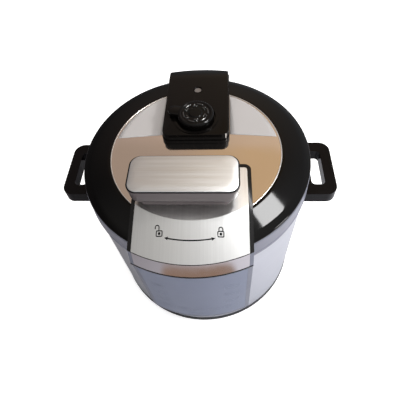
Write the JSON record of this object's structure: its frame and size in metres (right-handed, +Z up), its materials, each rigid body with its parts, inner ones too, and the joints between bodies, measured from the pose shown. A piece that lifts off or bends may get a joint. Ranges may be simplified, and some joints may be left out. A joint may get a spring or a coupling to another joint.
{
  "type": "electric pressure cooker",
  "caption": "Countertop electric pressure cooker: round steel housing with a front control panel, side handles and a twist-lock lid with bridge handle, release valve and float.",
  "frame": {"origin": "on the body's vertical axis, at the surface the feet stand on", "axes": "+Z up, -Y towards the control panel and the user, +X to the user's right"},
  "size_m": [0.36, 0.3162, 0.29],
  "materials": {
    "housing_steel": "fine vertical brushing, satin",
    "base_plastic": "matte",
    "foot_rubber": "matte",
    "fastener_steel": "zinc plated",
    "bracket_steel": "plain",
    "trim_black": "gloss",
    "rim_plastic": "satin gloss",
    "grip_black": "gloss",
    "panel_plastic": "satin gloss",
    "panel_film": "printed film, satin",
    "display": "smoked",
    "circuit_board": "solder mask",
    "shell_steel": "plain drawn",
    "plate_aluminium": "cast",
    "element_copper": "sheathed",
    "fuse_ceramic": "glazed",
    "spring_steel": "drawn wire",
    "winding": "tape wound",
    "switch_plastic": "matte",
    "pin_brass": "plated",
    "cup_clear": "clear frosted",
    "pot_aluminium": "hard anodised",
    "seal_silicone": "translucent silicone",
    "lid_black": "high gloss",
    "disc_mirror": "mirror polish",
    "tongue_steel": "brushed",
    "lip_steel": "polished",
    "handle_satin": "satin metallised",
    "valve_black": "high gloss",
    "vent_steel": "turned",
    "float_metal": "anodised",
    "float_rubber": "silicone"
  },
  "bodies": {
    "base": {"outer_housing": "housing_steel", "base_pan": "base_plastic", "feet": "foot_rubber", "base_screws": "fastener_steel", "support_posts": "bracket_steel", "seam_trim": "trim_black", "upper_ring": "rim_plastic", "left_handle": "grip_black", "right_handle": "grip_black", "side_handle_screws": "fastener_steel", "panel_frame": "panel_plastic", "panel_overlay": "panel_film", "display_module": "display", "control_board": "circuit_board", "pressure_shell": "shell_steel", "heating_plate": "plate_aluminium", "heating_element": "element_copper", "thermal_fuse": "fuse_ceramic", "heat_shield": "bracket_steel", "sensor_sleeve": "bracket_steel", "sensor_spring": "spring_steel", "power_board": "circuit_board", "transformer": "winding", "pressure_switch": "switch_plastic", "power_inlet": "base_plastic", "inlet_pins": "pin_brass", "collector_bracket": "base_plastic"},
    "sensor": {"temperature_sensor": "plate_aluminium"},
    "collector": {"water_collector": "cup_clear"},
    "pot": {"inner_pot": "pot_aluminium"},
    "seal": {"sealing_ring": "seal_silicone"},
    "lid": {"lid_ring": "lid_black", "lid_disc": "disc_mirror", "pressure_lid": "shell_steel", "seal_rack": "fastener_steel", "lid_screws": "fastener_steel", "tongue_frame": "trim_black", "tongue_plate": "tongue_steel", "front_lip": "lip_steel", "handle_body": "handle_satin", "handle_trim": "trim_black", "handle_plate": "tongue_steel", "handle_screws": "fastener_steel", "valve_housing": "valve_black", "vent_pipe": "vent_steel", "vent_nut": "fastener_steel", "anti_block_shield": "vent_steel", "float_guide": "vent_steel"},
    "knob": {"release_valve": "valve_black", "valve_weight": "vent_steel"},
    "float": {"float_valve": "float_metal", "float_seal": "float_rubber"}
  },
  "joints": [
    {"name": "pot_lift", "type": "slide", "parent": "base", "child": "pot", "axis": [0, 0, 1], "range_m": [0, 0.19]},
    {"name": "lid_lift", "type": "slide", "parent": "pot", "child": "seal", "axis": [0, 0, 1], "range_m": [0, 0.12]},
    {"name": "lid_turn", "type": "hinge", "parent": "seal", "child": "lid", "pos_m": [0, 0, 0.24], "axis": [0, 0, 1], "range_deg": [0, 30]},
    {"name": "valve_turn", "type": "hinge", "parent": "lid", "child": "knob", "pos_m": [0, 0.0415, 0.265], "axis": [0, 0, 1], "range_deg": [0, 60]},
    {"name": "float_rise", "type": "slide", "parent": "lid", "child": "float", "axis": [0, 0, 1], "range_m": [0, 0.0048]},
    {"name": "sensor_press", "type": "slide", "parent": "base", "child": "sensor", "axis": [0, 0, 1], "range_m": [-0.003, 0], "stiffness_N_per_m": 400, "springref_m": 0.003, "deforming": ["sensor_spring"]},
    {"name": "collector_slide", "type": "slide", "parent": "base", "child": "collector", "axis": [0, 0, 1], "range_m": [0, 0.07]}
  ]
}
